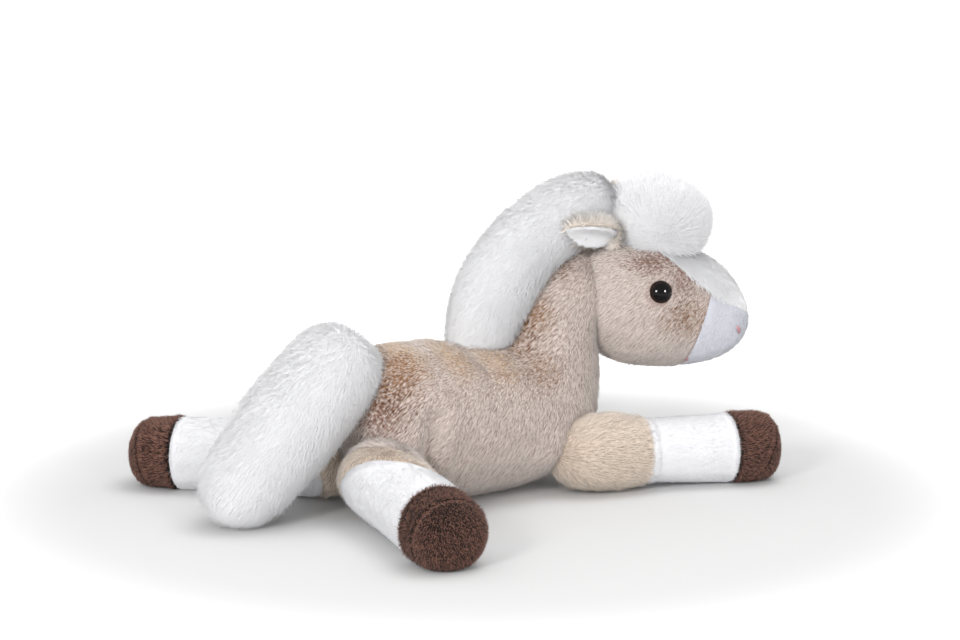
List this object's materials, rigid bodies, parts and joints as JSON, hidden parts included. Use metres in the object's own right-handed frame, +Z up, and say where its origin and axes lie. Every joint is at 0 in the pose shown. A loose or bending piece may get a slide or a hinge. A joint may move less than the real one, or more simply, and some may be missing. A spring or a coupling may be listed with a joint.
{
  "type": "plush horse",
  "caption": "Stuffed toy horse lying on its belly with legs spread, long white mane, forelock and tail, dark hooves and black eyes",
  "frame": {"origin": "on the floor under the belly, on the body cover's flat rest", "axes": "+X forward, to the chest; +Y to the horse's left; +Z up"},
  "size_m": [0.3057, 0.2523, 0.1608],
  "materials": {
    "beige_plush": "short beige plush with brown airbrushed patches",
    "white_plush": "white plush, long pile on mane, forelock and tail",
    "brown_plush": "short dark brown plush",
    "stuffing": "loose polyester fibre",
    "eye_plastic": "polished black",
    "washer_plastic": "moulded natural plastic",
    "pink_thread": "embroidery thread"
  },
  "bodies": {
    "torso": {"body_cover": "beige_plush", "body_filling": "stuffing", "mane_cover": "white_plush", "mane_filling": "stuffing"},
    "head": {"blaze": "white_plush", "forelock_cover": "white_plush", "forelock_filling": "stuffing", "head_cover": "beige_plush", "head_filling": "stuffing", "left_eye": "eye_plastic", "left_eye_washer": "washer_plastic", "left_mouth_stitch": "pink_thread", "left_nostril_stitch": "pink_thread", "muzzle_cover": "white_plush", "right_eye": "eye_plastic", "right_eye_washer": "washer_plastic", "right_mouth_stitch": "pink_thread", "right_nostril_stitch": "pink_thread"},
    "right_ear": {"right_ear_inner": "white_plush", "right_ear_outer": "beige_plush"},
    "left_ear": {"left_ear_inner": "white_plush", "left_ear_outer": "beige_plush"},
    "tail": {"tail_cover": "white_plush", "tail_filling": "stuffing"},
    "front_right_leg": {"front_right_hoof_cover": "brown_plush", "front_right_leg_filling": "stuffing", "front_right_leg_lower_cover": "white_plush", "front_right_leg_upper_cover": "beige_plush", "front_right_sole": "brown_plush"},
    "front_left_leg": {"front_left_hoof_cover": "brown_plush", "front_left_leg_filling": "stuffing", "front_left_leg_lower_cover": "white_plush", "front_left_leg_upper_cover": "beige_plush", "front_left_sole": "brown_plush"},
    "hind_right_leg": {"hind_right_hoof_cover": "brown_plush", "hind_right_leg_filling": "stuffing", "hind_right_leg_lower_cover": "white_plush", "hind_right_leg_upper_cover": "beige_plush", "hind_right_sole": "brown_plush"},
    "hind_left_leg": {"hind_left_hoof_cover": "brown_plush", "hind_left_leg_filling": "stuffing", "hind_left_leg_lower_cover": "white_plush", "hind_left_leg_upper_cover": "beige_plush", "hind_left_sole": "brown_plush"}
  },
  "joints": [
    {"name": "front_right_hip", "type": "hinge", "parent": "torso", "child": "front_right_leg", "pos_m": [0.0465, -0.037, 0.0205], "axis": [0, 0, 1], "range_deg": [-18, 4]},
    {"name": "front_left_hip", "type": "hinge", "parent": "torso", "child": "front_left_leg", "pos_m": [0.0465, 0.037, 0.0205], "axis": [0, 0, 1], "range_deg": [-18, 18]},
    {"name": "hind_right_hip", "type": "hinge", "parent": "torso", "child": "hind_right_leg", "pos_m": [-0.07305, -0.0265, 0.0208], "axis": [0, 0, 1], "range_deg": [-16, 14]},
    {"name": "hind_left_hip", "type": "hinge", "parent": "torso", "child": "hind_left_leg", "pos_m": [-0.07305, 0.0265, 0.0208], "axis": [0, 0, 1], "range_deg": [-18, 14]},
    {"name": "tail_lift", "type": "hinge", "parent": "torso", "child": "tail", "pos_m": [-0.08325, 0, 0.07301], "axis": [0, 1, 0], "range_deg": [0, 50], "stiffness_Nm_per_rad": 0.02},
    {"name": "head_nod", "type": "hinge", "parent": "torso", "child": "head", "pos_m": [0.06645, 0, 0.09898], "axis": [0.4695, 0.8829, 0], "range_deg": [-2, 6], "stiffness_Nm_per_rad": 0.4},
    {"name": "right_ear_swing", "type": "hinge", "parent": "head", "child": "right_ear", "pos_m": [0.07882, -0.0175, 0.12366], "axis": [0.1396, -0.6428, 0.7532], "range_deg": [-2, 25], "stiffness_Nm_per_rad": 0.004},
    {"name": "left_ear_swing", "type": "hinge", "parent": "head", "child": "left_ear", "pos_m": [0.09179, 0.00089, 0.12187], "axis": [-0.2792, 0.9317, -0.2323], "range_deg": [-2, 25], "stiffness_Nm_per_rad": 0.004}
  ]
}
